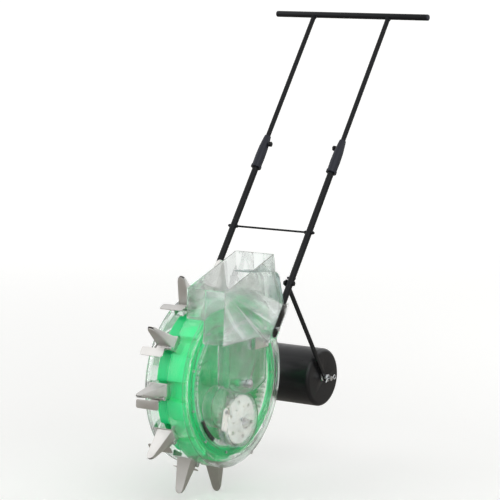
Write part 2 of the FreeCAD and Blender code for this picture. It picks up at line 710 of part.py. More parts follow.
lever = oblong(lever_half, lever_long, lever_thick, lever_low)
grip = oblong(lever_half - 3.5, 12, 5, lever_low + lever_thick)
grip.translate(Vector(0, 0, -lever_long + 8))
lever = lever.fuse(grip).cut(pin_shape(screw_radius + D["running_gap"], lever_thick, Vector(), lever_low))
lever.Placement = lever_turn.multiply(lever.Placement)
finish(solid("gate_lever_feature", lever), "gate_lever")
finish(solid("gate_screw_feature", Part.makeCompound(screws(
    [(lever_pivot, lever_low + lever_thick + 0.3)], 4.5, 2.5, lever_thick + wall + 0.7, LEFT))),
    "gate_screw")

# ---------------------------------------------------------------- seal brush on the cover

brush_outer = D["cover_radius"] - wall
brush_block = arc_pad(brush_outer - 7, brush_outer, D["cover_start"] + wall, D["cover_lip"] - 1, 13)
brush_block.rotate(Vector(), Y_AXIS, -49)
finish(solid("seal_brush_feature", brush_block), "seal_brush")

# ---------------------------------------------------------------- beaks: fixed halves

root_radius = S.ring_radius - S.base_seat
beak_long = (S.tip_radius - S.ring_radius + S.base_seat)


def wedge(name, lead, trail, half, tip_lead, tip_trail, tip_half, long):
    """A tapered block that points straight down from the base plate's outer face."""
    block = add("Part::Wedge", name)
    bind(block, Xmin=-lead, Xmax=trail, X2min=-tip_lead, X2max=tip_trail,
         Zmin=-half, Zmax=half, Z2min=-tip_half, Z2max=tip_half, Ymin=0, Ymax=long)
    block.Placement = Placement(Vector(0, D["beak_plane"], -float(root_radius)),
                                Rotation(X_AXIS, -90))
    return block


beak_outer = wedge("beak_outer", S.beak_lead, S.beak_trail, S.beak_root_half,
                   2, 2, S.beak_tip_half, beak_long)
beak_void = wedge("beak_void", 60, S.beak_trail - S.sheet, S.beak_root_half - S.sheet,
                  60, -S.sheet + 2, S.beak_tip_half - S.sheet, beak_long)
beak_lead_edge = wedge("beak_lead_edge", 60, -S.beak_lead, 40, 60, -2, 40, beak_long)
shell_half = cut("beak_shell", beak_outer, [beak_void, beak_lead_edge])

base_low = float(root_radius)
plate_left = S.beak_plane + S.beak_root_half + 2
plate = slab("beak_plate", S.base_half * 2, S.drum_half + plate_left, S.base_plate,
             Placement(Vector(-D["base_half"], -D["drum_half"], -base_low), Rotation()))
leg_depth = root_radius - S.base_plate - S.tray_radius - 0.3
tabs = [slab(f"beak_tab_{side}", S.base_half * 2, S.base_plate, depth,
             Placement(Vector(-D["base_half"], y, -base_low + D["base_plate"]), Rotation()))
        for side, y, depth in (("right", -D["drum_half"], S.tab_depth),
                               ("left", float(plate_left) - D["base_plate"], leg_depth))]
pin_point = Vector(-D["flap_pin_x"], 0, -(base_low + D["flap_pin_rise"]))
lug_half, lug_wall = 5.0, 2.0
lugs = []
for side, y in (("right", D["beak_plane"] - D["beak_root_half"] - lug_wall),
                ("left", D["beak_plane"] + D["beak_root_half"])):
    stem = slab(f"lug_stem_{side}", 2 * lug_half, lug_wall, S.flap_pin_rise,
                Placement(Vector(pin_point.x - lug_half, y, pin_point.z), Rotation()))
    eye = rod(f"lug_eye_{side}", lug_half, lug_wall, along_y(y, pin_point.x, pin_point.z))
    lugs += [stem, eye]
beak_solid = fuse("beak_half", [shell_half, plate] + tabs + lugs)
seed_hole = slab("beak_seed_hole", 20, 26, 30,
                 Placement(Vector(-9, D["beak_plane"] - 13, -base_low - 2), Rotation()))
pin_hole = rod("beak_pin_hole", S.flap_pin, 80, along_y(D["beak_plane"] - 40, pin_point.x,
                                                            pin_point.z))
tab_holes = [rod(f"beak_tab_hole_{i}", screw_radius, 10,
                 along_y(-outer_side, x, -tab_screw_radius)) for i, x in enumerate((-11, 11))]
one_beak = cut("beak_one", beak_solid, [seed_hole, pin_hole] + tab_holes)
doc.recompute()


def tip_corners(half, tip):
    """What is outside a round end of the given half width, whose point is at the tip's radius."""
    block = Part.makeBox(80, 2 * half + 6, half + 1, Vector(-40, D["beak_plane"] - half - 3, -tip - 1))
    return block.cut(Part.makeCylinder(half, 80, Vector(-40, D["beak_plane"], half - tip), X_AXIS))


one_beak_shape = one_beak.Shape.cut(tip_corners(D["beak_tip_half"] + 0.6, D["tip_radius"])).removeSplitter()
finish(solid("fixed_beaks_feature", all_beaks(one_beak_shape)), "fixed_beaks")

pin_long = 2 * (D["beak_root_half"] + lug_wall) + 4
flap_pin = pin_shape(D["flap_pin"], pin_long, pin_point, D["beak_plane"] - pin_long / 2)
finish(solid("flap_pins_feature", all_beaks(flap_pin)), "flap_pins")

# ---------------------------------------------------------------- beaks: opening flaps

knuckle_half = D["beak_root_half"] - 4.5
knuckle_radius = D["flap_pin"] + D["running_gap"] + D["knuckle_wall"]
flap_start = D["flap_pin_rise"] + 1.5


def flap_shape():
    """The leading blade with its knuckle and its foot pedal, pointing straight down."""
    long = D["tip_radius"] - base_low

    def edge(rise, out):
        return -(D["beak_lead"] + (2 - D["beak_lead"]) * rise / long) - D["flap_gap"] - out

    def half(rise):
        share = rise / long
        return D["beak_root_half"] + (D["beak_tip_half"] - D["beak_root_half"]) * share - 0.5

    def section(rise):
        y, z = D["beak_plane"], -(base_low + rise)
        w = half(rise)
        corners = [Vector(edge(rise, 0), y - w, z), Vector(edge(rise, D["sheet"]), y - w, z),
                   Vector(edge(rise, D["sheet"]), y + w, z), Vector(edge(rise, 0), y + w, z)]
        return Part.makePolygon(corners + corners[:1])

    blade = Part.makeLoft([section(flap_start), section(long - 2)], True, True)
    blade = blade.cut(tip_corners(D["beak_tip_half"], D["tip_radius"] - 2))
    knuckle = pin_shape(knuckle_radius, 2 * knuckle_half, pin_point, D["beak_plane"] - knuckle_half)
    pedal_z = pin_point.z - D["pedal_rise"] - 2
    web = Part.makeBox(4.5, D["pedal_in"] + knuckle_half - 2, D["pedal_rise"] + 2,
                       Vector(pin_point.x - 8, D["beak_plane"] - knuckle_half + 2, pedal_z))
    pedal = Part.makeBox(D["pedal_long"], D["pedal_out"] + D["pedal_in"], 2,
                         Vector(pin_point.x - 7 - D["pedal_long"],
                                D["beak_plane"] - D["pedal_out"], pedal_z))
    corners = [e for e in pedal.Edges if e.BoundBox.ZLength > 1.5
               and e.BoundBox.YLength < 0.1 and e.BoundBox.XLength < 0.1]
    pedal = pedal.makeFillet(5, corners)
    corner = Part.makeBox(20, 30, knuckle_radius + D["flap_pin_rise"], Vector(pin_point.x - 4, 0, 0))
    notches = []
    for y in (D["beak_plane"] - knuckle_half - 30, D["beak_plane"] + knuckle_half):
        notch = corner.copy()
        notch.translate(Vector(0, y, pin_point.z - knuckle_radius))
        notches.append(notch)
    blade = blade.cut(Part.makeCompound(notches))
    whole = blade.multiFuse([knuckle, web, pedal])
    bore = pin_shape(D["flap_pin"] + D["running_gap"], 2 * knuckle_half + 2, pin_point,
                     D["beak_plane"] - knuckle_half - 1)
    return whole.cut(bore).removeSplitter()


one_flap = flap_shape()
for k in range(BEAKS):
    flap = solid(f"flap_feature_{k}", one_flap)
    flap.Placement = beak_turn(k)
    finish(flap, f"beak_flap_{k + 1:02d}")

flap_wire, flap_turns = 0.45, 3
turn_radius = D["flap_pin"] + 2 * flap_wire
turn_low = D["beak_plane"] + knuckle_half + 0.3 + flap_wire
close_turns = [Part.makeTorus(turn_radius, flap_wire, Vector(pin_point.x, turn_low + 0.85 * k, pin_point.z),
                              Y_AXIS) for k in range(flap_turns)]
flap_coil = close_turns[0].multiFuse(close_turns[1:]).removeSplitter()
finish(solid("flap_springs_feature", all_beaks(flap_coil)), "flap_springs")

# ---------------------------------------------------------------- handle frame

stop_radius, stop_rise, heel_half, heel_long = 3.0, 14.0, 4.0, 17.0


def flattened_tube(side, low_round, tongue_low, tongue_y, hole):
    """A round tube whose lower end is pressed flat, with a round end and a hole."""
    y = side * D["tube_offset"]
    frame = up_tube(0, y)
    top = D["lower_top"]
    outer = Part.makeCylinder(D["tube_radius"], top - low_round, Vector(0, 0, low_round))
    bore = Part.makeCylinder(D["tube_bore"], top - low_round - 6, Vector(0, 0, low_round + 6))
    shift = tongue_y - y
    half, thick = D["tongue_half"], D["tongue_thick"] / 2
    flat = Part.makeBox(2 * half, 2 * thick, low_round - 24 - tongue_low,
                        Vector(-half, shift - thick, tongue_low))
    end = Part.makeCylinder(half, 2 * thick, Vector(0, shift - thick, tongue_low), Y_AXIS)
    z = low_round - 24
    squashed = Part.makePolygon([Vector(x, yy + shift, z) for x, yy in
                                 ((-half, -thick), (half, -thick), (half, thick), (-half, thick),
                                  (-half, -thick))])
    r = D["tube_radius"]
    ring_wire = Part.makePolygon([Vector(r * math.cos(math.radians(a)), r * math.sin(math.radians(a)),
                                         low_round) for a in (225, 315, 45, 135, 225)])
    neck = Part.makeLoft([squashed, ring_wire], True, True)
    round_neck = Part.makeLoft([Part.Wire(Part.makeCircle(r, Vector(0, 0, low_round))),
                                Part.Wire(Part.makeCircle(thick + 0.5, Vector(0, shift, z)))], True)
    whole = outer.cut(bore).multiFuse([flat, end, neck, round_neck])
    holes = [Part.makeCylinder(hole, 60, Vector(0, shift - 30, tongue_low + (0 if side < 0 else 12)),
                               Y_AXIS),
             Part.makeCylinder(D["rod_radius"], 40, Vector(0, -20, D["rod_at"]), Y_AXIS),
             Part.makeCylinder(D["pivot_radius"], 40, Vector(0, -20, D["pivot_at"]), Y_AXIS),
             Part.makeCylinder(stop_radius, 40, Vector(0, -20, D["pivot_at"] + stop_rise), Y_AXIS)]
    whole = whole.cut(Part.makeCompound(holes)).removeSplitter()
    whole.Placement = frame
    return whole


left_tongue_y = left_face - wall - D["tongue_thick"] / 2
finish(solid("lower_tube_left_feature",
             flattened_tube(LEFT, D["round_start"], D["left_tongue"], left_tongue_y, bolt_radius)),
       "lower_tube_left")
finish(solid("lower_tube_right_feature",
             flattened_tube(RIGHT, 60, 0, -D["tube_offset"], D["axle_radius"])), "lower_tube_right")

for name, side in SIDES:
    body = turned(f"sleeve_{name}_body", [
        (S.tube_radius, 0), (S.sleeve_radius + 0.8, 0),
        (S.sleeve_radius + 0.8, 6), (S.sleeve_radius - 0.6, 6),
        (S.sleeve_radius - 0.4, 12), (S.sleeve_radius, 34),
        (S.sleeve_radius - 0.8, 60), (S.sleeve_radius - 3, 82),
        (S.sleeve_radius - 4.2, S.sleeve_high - S.sleeve_low),
        (S.slide_radius + S.running_gap, S.sleeve_high - S.sleeve_low),
        (S.slide_radius + S.running_gap, S.lower_top - S.sleeve_low),
        (S.tube_radius, S.lower_top - S.sleeve_low),
    ])
    doc.recompute()
    along = up_tube(D["sleeve_low"], side * D["tube_offset"]).multiply(
        Placement(Vector(), Rotation(X_AXIS, 90)))
    shape = body.Shape.copy()
    shape.Placement = along.multiply(shape.Placement)
    hole_from = tube_point(D["lower_top"] + 12)
    screw_hole = Part.makeCylinder(2.5, 8, Vector(hole_from.x, side * (D["tube_offset"] - 6.3),
                                                  hole_from.z), Vector(0, -side, 0))
    body.Visibility = False
    finish(solid(f"sleeve_{name}_feature", shape.cut(screw_hole)), f"clamp_sleeve_{name}")

clamp_point = tube_point(D["lower_top"] + 12)
clamp_shapes = []
for name, side in SIDES:
    seat = Vector(clamp_point.x, side * (D["tube_offset"] - 6.3), clamp_point.z)
    inward = Vector(0, -side, 0)
    shank = Part.makeCylinder(2.5, 10, seat, inward)
    head = Part.makeCylinder(6.5, 6, seat + inward * 7, inward)
    scallops = [Part.makeCylinder(1.4, 6, seat + inward * 7 + Vector(7 * math.cos(a), 0, 7 * math.sin(a)),
                                  inward) for a in [math.pi / 4 * k for k in range(8)]]
    clamp_shapes.append(shank.fuse(head).cut(Part.makeCompound(scallops)).removeSplitter())
finish(solid("clamp_screws_feature", Part.makeCompound(clamp_shapes)), "clamp_screws")

rod_point = tube_point(D["rod_at"])
rod_half = D["tube_offset"] + D["tube_radius"] + 7
finish(rod("cross_rod_bar", S.rod_radius, 2 * rod_half, along_y(-rod_half, rod_point.x, rod_point.z)),
       "cross_rod")
finish(solid("rod_nuts_feature", Part.makeCompound([
    nut(D["rod_radius"], 8, 4, rod_point, y) for y in (
        D["tube_offset"] + D["tube_radius"], -D["tube_offset"] - D["tube_radius"] - 4,
        D["tube_offset"] - D["tube_radius"] - 4, -D["tube_offset"] + D["tube_radius"])])),
    "cross_rod_nuts")

tongue_bolt_low = left_face - wall - D["tongue_thick"] - 6
finish(solid("tongue_bolt_feature", pin_shape(bolt_radius, left_face + 4 - tongue_bolt_low, left_bolt,
                                              tongue_bolt_low)
             .fuse(hexagon(10, 4, left_bolt, left_face))
             .fuse(hexagon(10, 5, left_bolt, tongue_bolt_low)).removeSplitter()), "hopper_bolt")

# ---------------------------------------------------------------- telescoping handle

bar = cut("bar_cut",
          rod("bar_outer", S.bar_radius, S.bar_length,
              along_y(-D["bar_length"] / 2, tube_point(D["bar_at"]).x, tube_point(D["bar_at"]).z)),
          rod("bar_inner", S.bar_bore, S.bar_length,
              along_y(-D["bar_length"] / 2, tube_point(D["bar_at"]).x, tube_point(D["bar_at"]).z)))
finish(bar, "t_bar")

bar_centre = tube_point(D["bar_at"])
bar_room = pin_shape(D["bar_radius"], D["bar_length"], bar_centre, -D["bar_length"] / 2)
for name, side in SIDES:
    slide_long = D["bar_at"] - D["slide_end"]
    blank = cut(f"upper_{name}_wall",
                rod(f"upper_{name}_outer", S.slide_radius, S.bar_at - S.slide_end,
                    up_tube(D["slide_end"], side * D["tube_offset"])),
                rod(f"upper_{name}_bore", S.slide_bore, S.bar_at - S.slide_end,
                    up_tube(D["slide_end"], side * D["tube_offset"])))
    finish(cut(f"upper_{name}_coped", blank, solid(f"upper_{name}_bar_room", bar_room)),
           f"upper_tube_{name}")

plug_depth, plug_cap = 14.0, 3.0
plug_shapes = []
for name, side in SIDES:
    end = side * D["bar_length"] / 2
    stem_low = end - plug_depth if side > 0 else end
    cap_low = end if side > 0 else end - plug_cap
    cap = pin_shape(D["bar_radius"], plug_cap, bar_centre, cap_low)
    rim = [e for e in cap.Edges if e.Curve.TypeId == "Part::GeomCircle"
           and side * (e.CenterOfMass.y - end) > 1]
    plug_shapes.append(cap.makeFillet(2.2, rim).fuse(
        pin_shape(D["bar_bore"], plug_depth, bar_centre, stem_low)).removeSplitter())
finish(solid("bar_plugs_feature", Part.makeCompound(plug_shapes)), "bar_end_plugs")

# ---------------------------------------------------------------- press roller and its arms

pivot = tube_point(D["pivot_at"])
heel_turn = math.degrees(math.asin((heel_half + stop_radius + 0.3) / stop_rise)) - D["lean_deg"]
roller_centre = Vector(-D["roller_back"], 0, -D["roller_drop"])
reach = roller_centre - pivot
arm_long = reach.Length
arm_turn = math.degrees(math.atan2(-reach.x, -reach.z))
arm_top_y = D["tube_offset"] - D["tube_radius"] - 0.5 - D["arm_thick"]
arm_low_y = D["roller_half"] + 4
straight = 26.0

for name, side in SIDES:
    body = add("PartDesign::Body", f"arm_{name}_body")
    t = D["arm_thick"]
    line = [(arm_top_y, 8.0), (arm_top_y, -straight), (arm_low_y, -arm_long + straight),
            (arm_low_y, -arm_long - 12)]
    outline = line + [(y + t, z) for y, z in reversed(line)]
    outline = [(f"{side * y:.4f}", f"{z:.4f}") for y, z in outline]
    strip = closed_sketch(body, "YZ_Plane", outline)
    pad = body.newObject("PartDesign::Pad", f"arm_{name}_pad")
    pad.Profile = strip
    bind(pad, Length=S.arm_width)
    pad.Midplane = True
    body.Tip = pad
    body.Placement = Placement(pivot, Rotation(Y_AXIS, arm_turn))
    ends = []
    doc.recompute()
    low = side * arm_top_y if side > 0 else -arm_top_y - t
    low_end = side * arm_low_y if side > 0 else -arm_low_y - t
    corner_tools = []
    half = D["arm_width"] / 2
    for z, y, radius in ((0, low, D["pivot_radius"] + D["running_gap"]),
                         (-arm_long, low_end, D["roller_axle"])):
        outward = 1 if z == 0 else -1
        block = Part.makeBox(2 * half + 2, t, 20, Vector(-half - 1, y, z if z == 0 else z - 20))
        round_end = pin_shape(half + 2.5, t, Vector(0, 0, z), y)
        corner_tools.append(block.cut(round_end))
        ends.append(round_end)
        ends[-1].Placement = body.Placement.multiply(ends[-1].Placement)
        corner_tools.append(pin_shape(radius, t, Vector(0, 0, z), y))
    tools = Part.makeCompound(corner_tools)
    tools.Placement = body.Placement.multiply(tools.Placement)
    heel = Part.makeBox(2 * heel_half, t, heel_long, Vector(-heel_half, low, 0))
    heel.Placement = Placement(pivot, Rotation(Y_AXIS, heel_turn)).multiply(heel.Placement)
    ends.append(heel)
    eyes = solid(f"arm_{name}_eyes", Part.makeCompound(ends))
    whole = fuse(f"arm_{name}_whole", [body, eyes])
    finish(cut(f"arm_{name}_cut", whole, solid(f"arm_{name}_tools", tools)), f"roller_arm_{name}")

pivot_shapes = []
for name, side in SIDES:
    head_y = side * (D["tube_offset"] + D["tube_radius"])
    low = min(head_y, side * (arm_top_y - 0.3))
    span = abs(head_y - side * (arm_top_y - 0.3))
    bolt = pin_shape(D["pivot_radius"], span, pivot, low)
    head = hexagon(11, 3.5, pivot, head_y if side > 0 else head_y - 3.5)
    inner_y = side * (arm_top_y - 0.3)
    lock = hexagon(11, 4, pivot, inner_y - 4 if side > 0 else inner_y)
    pivot_shapes.append(bolt.multiFuse([head, lock]).removeSplitter())
finish(solid("pivot_bolts_feature", Part.makeCompound(pivot_shapes)), "pivot_bolts")

stop_point = tube_point(D["pivot_at"] + stop_rise)
stop_shapes = []
for name, side in SIDES:
    inner_y, outer_y = side * (arm_top_y - 0.3), side * (D["tube_offset"] + D["tube_radius"] + 1)
    stop_shapes.append(pin_shape(stop_radius, abs(outer_y - inner_y), stop_point, min(inner_y, outer_y)))
finish(solid("arm_stops_feature", Part.makeCompound(stop_shapes)), "arm_stops")

roller_half, roller_radius = D["roller_half"], D["roller_radius"]


def rounded_drum(radius, half, corner):
    whole = pin_shape(radius, 2 * half, roller_centre, -half)
    rims = [e for e in whole.Edges if e.Curve.TypeId == "Part::GeomCircle"]
    return whole.makeFillet(corner, rims)


roller_bush_wall = 2.0
bush_outer = D["roller_axle"] + D["running_gap"] + roller_bush_wall
roller_wall = D["roller_wall"]
hollow = rounded_drum(roller_radius - roller_wall, roller_half - roller_wall,
                      D["roller_round"] - roller_wall)
bosses = [pin_shape(bush_outer + 4, 22, roller_centre, y) for y in (-roller_half, roller_half - 22)]
roller_shape = rounded_drum(roller_radius, roller_half, D["roller_round"]).cut(hollow).multiFuse(bosses)
roller_shape = roller_shape.cut(pin_shape(bush_outer, 2 * roller_half, roller_centre, -roller_half))
finish(solid("roller_feature", roller_shape.removeSplitter()), "press_roller")
roller_bushes = [pin_shape(bush_outer, 22, roller_centre, y).cut(
    pin_shape(D["roller_axle"] + D["running_gap"], 22, roller_centre, y))
    for y in (-roller_half, roller_half - 22)]
finish(solid("roller_bushes_feature", Part.makeCompound(roller_bushes)), "roller_bushes")

spindle_half = arm_low_y + D["arm_thick"] + 16
finish(rod("spindle_bar", S.roller_axle, 2 * spindle_half,
           along_y(-spindle_half, roller_centre.x, roller_centre.z)), "roller_spindle")
nut_height = 6.0
finish(solid("spindle_nuts_feature", Part.makeCompound([
    nut(D["roller_axle"], 17, nut_height, roller_centre, y)
    for y in (arm_low_y + D["arm_thick"], -arm_low_y - D["arm_thick"] - nut_height)])),
    "roller_spindle_nuts")


def split_pin(side):
    """A bent wire pin across the spindle's end, outside its nut."""
    y = side * (spindle_half - 4)
    wire = 1.2
    stem = Part.makeCylinder(wire, 30, Vector(-15, y, 0), X_AXIS)
    loop_wire = Part.makeTorus(5, wire, Vector(-20, y, 0), Y_AXIS)
    tail = Part.makeCylinder(wire, 9, Vector(15, y, 0), Vector(0.5, 0, -0.85))
    knob = Part.makeSphere(wire, Vector(15, y, 0))
    pin = stem.multiFuse([loop_wire, tail, knob])
    pin.translate(roller_centre)
    return pin.removeSplitter()


split_shapes = [split_pin(side) for _, side in SIDES]
spindle = [p for p in pieces if p.Label == "roller_spindle"][0]
doc.recompute()
pieces.remove(spindle)
spindle.Label = "spindle_blank"
finish(cut("spindle_drilled", spindle, solid("spindle_pin_holes", Part.makeCompound([
    Part.makeCylinder(1.2, 30, roller_centre + Vector(-15, side * (spindle_half - 4), 0), X_AXIS)
    for _, side in SIDES]))), "roller_spindle")
finish(solid("split_pins_feature", Part.makeCompound(split_shapes)), "split_pins")

# ---------------------------------------------------------------- checks, move to the origin, export

doc.recompute()
for obj in doc.Objects:
    if "Invalid" in obj.State or "Error" in obj.State:
        raise RuntimeError(f"{obj.Name} failed: {obj.State}")

box = FreeCAD.BoundBox()
for piece in pieces:
    box.add(piece.Shape.optimalBoundingBox(False))
origin = Vector(box.Center.x, box.Center.y, box.ZMin)
for piece in pieces:
    piece.Placement = Placement(origin * -1, Rotation()).multiply(piece.Placement)
doc.recompute()

os.makedirs("parts", exist_ok=True)
for piece in pieces:
    shape = piece.Shape
    if shape.isNull() or not shape.isValid() or not shape.Solids:
        raise RuntimeError(f"{piece.Label} has no valid solid")
    shape.exportStep(f"parts/{piece.Label}.step")

print(f"origin {origin.x:.4f} {origin.y:.4f} {origin.z:.4f}")
print(f"box {box.XLength:.2f} {box.YLength:.2f} {box.ZLength:.2f}")
print(f"pieces {len(pieces)}")
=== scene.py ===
"""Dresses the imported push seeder: its clear drum and hopper, green seed tray, steel beaks and black handle."""
import json
import math

import bpy
from bpy.props import FloatProperty, FloatVectorProperty, PointerProperty, StringProperty
from bpy.types import Operator, Panel, PropertyGroup
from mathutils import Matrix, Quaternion, Vector


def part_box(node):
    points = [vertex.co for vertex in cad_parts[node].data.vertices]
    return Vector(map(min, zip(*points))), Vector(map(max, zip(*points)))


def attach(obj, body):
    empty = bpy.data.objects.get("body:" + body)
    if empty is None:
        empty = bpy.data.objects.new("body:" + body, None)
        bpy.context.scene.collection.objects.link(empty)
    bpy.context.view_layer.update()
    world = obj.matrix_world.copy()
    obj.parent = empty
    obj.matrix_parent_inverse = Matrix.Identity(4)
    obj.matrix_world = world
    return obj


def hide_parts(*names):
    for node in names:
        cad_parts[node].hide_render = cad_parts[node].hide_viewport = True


bl_info = {
    "name": "Push seeder",
    "version": (1, 0, 0),
    "blender": (4, 5, 0),
    "location": "View3D > Sidebar > Seeder",
    "description": "Models and finishes a hand-pushed seeder with a clear drum",
    "category": "Object",
}

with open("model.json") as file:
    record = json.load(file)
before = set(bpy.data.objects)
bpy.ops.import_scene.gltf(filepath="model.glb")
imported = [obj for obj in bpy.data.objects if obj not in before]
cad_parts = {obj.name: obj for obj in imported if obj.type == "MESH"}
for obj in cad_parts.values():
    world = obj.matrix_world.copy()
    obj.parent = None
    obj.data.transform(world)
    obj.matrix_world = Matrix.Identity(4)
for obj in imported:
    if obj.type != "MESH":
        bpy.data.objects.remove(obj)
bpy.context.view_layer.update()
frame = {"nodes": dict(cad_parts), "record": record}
NODES = frame["nodes"]
BODY_OF = {node: body for body, nodes in frame["record"]["behaviour"]["bodies"].items() for node in nodes}
SLOT_OF = {part["node"]: part["material_slot"] for part in frame["record"]["subparts"]}

MM = 0.001
AXLE = (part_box("axle")[0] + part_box("axle")[1]) / 2
AXLE.y = 0.0
HANDLE_LEAN = math.radians(36)

# CAD nodes by how they are finished
FLAPS = [f"beak_flap_{k:02d}" for k in range(1, 12)]
CLEAR_HOPPER = ["hopper", "hopper_wing", "hopper_panel"]
SMALL_PARTS = ["t_bar", "bar_end_plugs", "clamp_screws", "pivot_bolts", "cross_rod_nuts", "axle_nuts",
               "roller_spindle_nuts", "roller_arm_left", "roller_arm_right", "gate_lever", "hub",
               "metering_disc", "metering_pinion", "press_roller"]
# bought-in steel that is painted with the frame
PAINTED_OVER = {"cross_rod": "black_tube", "cross_rod_nuts": "black_tube", "clamp_screws": "black_tube"}
EDGE_OF = {"press_roller": 1.2 * MM, "bar_end_plugs": 0.8 * MM, "clamp_screws": 0.6 * MM,
           "metering_disc": 0.5 * MM}

# the hood's outline and bracket's box, in millimetres from the axle's middle
HOOD_FOOT = [(-121.0, 176.0), (-113.5, 205.0)]
HOOD_CORNER, HOOD_CORNER_RADIUS = (-77.0, 230.0), 28.0
HOOD_TOP = [(-34.0, 264.5), (14.0, 268.0)]
HOOD_Y, HOOD_WALL = (67.0, 117.5), 2.4
BRACKET_SIZE, BRACKET_MIDDLE, BRACKET_WALL = (56, 13, 30), (-36, 105, 96), 3.5

SPRING_WIRE, SPRING_TURNS = 0.7 * MM, 6
WELD_BEAD, WELD_RISE = 1.5 * MM, 8.4 * MM

# lamps: name, place in metres, side of the square in metres, watts
LAMPS = [("key", (1.6, 1.9, 2.4), 3.0, 34), ("fill", (1.7, -2.0, 2.0), 2.8, 20),
         ("back", (-2.3, 1.0, 2.2), 2.4, 18)]
LAMP_TARGET = Vector((0.0, 0.0, 0.5))
CAMERA_FROM_AXLE = Vector((4.2238, 2.9128, 1.0251))
CAMERA_AZIMUTH, CAMERA_RISE, CAMERA_ROLL = math.radians(123.654), math.radians(7.931), math.radians(0.254)


# ---------------------------------------------------------------- sizes and colours that a user would change

class SeederSettings(PropertyGroup):
    """Sizes and colours of the seeder's finish."""

    mould_edge: FloatProperty(name="Moulded edge", description="Rounding of the plastic mouldings' edges",
                              default=0.7 * MM, min=0.0, subtype="DISTANCE", unit="LENGTH")
    sheet_edge: FloatProperty(name="Sheet edge", description="Rounding of the pressed steel's edges",
                              default=0.35 * MM, min=0.0, subtype="DISTANCE", unit="LENGTH")
    tray_colour: StringProperty(name="Tray colour", description="Green of the seed tray, as sRGB hex",
                                default="#0CD87A")
    powder_colour: StringProperty(name="Powder coat", description="Black of the tubes, as sRGB hex",
                                  default="#101113")
    clear_tint: StringProperty(name="Clear tint", description="Tint of the clear mouldings, as sRGB hex",
                               default="#FBFEFD")
    backdrop: FloatVectorProperty(name="Backdrop", description="Colour behind the seeder, linear",
                                  default=(1.0, 1.0, 1.0), subtype="COLOR", min=0.0, max=1.0)


def settings():
    return bpy.context.scene.seeder_settings


# ---------------------------------------------------------------- materials

def linear(hex_colour):
    """An sRGB hex value as linear RGBA."""
    channels = [int(hex_colour[i:i + 2], 16) / 255 for i in (1, 3, 5)]
    return tuple(c / 12.92 if c <= 0.04045 else ((c + 0.055) / 1.055) ** 2.4 for c in channels) + (1.0,)


def add_node(material, kind, values=None, links=None, **attributes):
    """Adds a node, sets its attributes and sockets, and links its inputs from (node, output) pairs."""
    tree = material.node_tree
    node = tree.nodes.new(kind)
    for key, value in attributes.items():
        setattr(node, key, value)
    for key, value in (values or {}).items():
        node.inputs[key].default_value = value
    for key, (source, output) in (links or {}).items():
        tree.links.new(source.outputs[output], node.inputs[key])
    return node


def new_material(name):
    material = bpy.data.materials.new(name)
    material.use_nodes = True
    material.node_tree.nodes.clear()
    return material


def output(material, shader, socket="BSDF"):
    add_node(material, "ShaderNodeOutputMaterial", links={"Surface": (shader, socket)})
    return material


def noise(material, millimetres, detail=4.0, roughness=0.55):
    """Noise whose largest grain is the given size, on Object coordinates."""
    place = add_node(material, "ShaderNodeTexCoord")
    return add_node(material, "ShaderNodeTexNoise",
                    {"Scale": 1 / (millimetres * MM), "Detail": detail, "Roughness": roughness},
                    {"Vector": (place, "Object")})


def between(material, source, socket, low, high, start=0.3, stop=0.7):
    """Maps a pattern's value onto a range of another."""
    return add_node(material, "ShaderNodeMapRange", {"From Min": start, "From Max": stop, "To Min": low,
                                                     "To Max": high}, {"Value": (source, socket)})


def mixed_colours(material, source, socket, first, second):
    return add_node(material, "ShaderNodeMix", {6: linear(first), 7: linear(second)},
                    {0: (source, socket)}, data_type="RGBA")


def powder_coated_steel():
    """Powder coat baked on steel tube: a soft sheen, and a fine orange peel that breaks the highlight."""
    m = new_material("powder_coated_steel")
    peel = noise(m, 1.6, 3)
    patches = noise(m, 60, 2)
    rough = between(m, patches, "Fac", 0.30, 0.42)
    colour = mixed_colours(m, patches, "Fac", settings().powder_colour, "#17181B")
    bump = add_node(m, "ShaderNodeBump", {"Strength": 0.10, "Distance": 0.15 * MM}, {"Height": (peel, "Fac")})
    return output(m, add_node(m, "ShaderNodeBsdfPrincipled", {"IOR": 1.5, "Specular IOR Level": 0.16},
                              {"Base Color": (colour, 2), "Roughness": (rough, "Result"),
                               "Normal": (bump, "Normal")}))


def moulded_polyethylene():
    """Rotation-moulded polyethylene: near black, waxy, with a faint grain and dusty scuffs."""
    m = new_material("moulded_polyethylene")
    grain = noise(m, 0.9, 5, 0.65)
    scuffs = noise(m, 38, 6, 0.7)
    rough = between(m, scuffs, "Fac", 0.26, 0.44)
    colour = mixed_colours(m, scuffs, "Fac", "#0C0D0F", "#17181B")
    bump = add_node(m, "ShaderNodeBump", {"Strength": 0.16, "Distance": 0.12 * MM}, {"Height": (grain, "Fac")})
    return output(m, add_node(m, "ShaderNodeBsdfPrincipled", {"IOR": 1.51, "Specular IOR Level": 0.3},
                              {"Base Color": (colour, 2), "Roughness": (rough, "Result"),
                               "Normal": (bump, "Normal")}))


def moulded_nylon_black():
    """Injection-moulded black nylon: a spark-eroded grain and a blue-black cast."""
    m = new_material("moulded_nylon_black")
    grain = noise(m, 0.7, 3)
    rough = between(m, grain, "Fac", 0.38, 0.52)
    colour = mixed_colours(m, grain, "Fac", "#10121C", "#1C1F2C")
    bump = add_node(m, "ShaderNodeBump", {"Strength": 0.2, "Distance": 0.1 * MM}, {"Height": (grain, "Fac")})
    return output(m, add_node(m, "ShaderNodeBsdfPrincipled", {"IOR": 1.53, "Specular IOR Level": 0.3},
                              {"Base Color": (colour, 2), "Roughness": (rough, "Result"),
                               "Normal": (bump, "Normal")}))


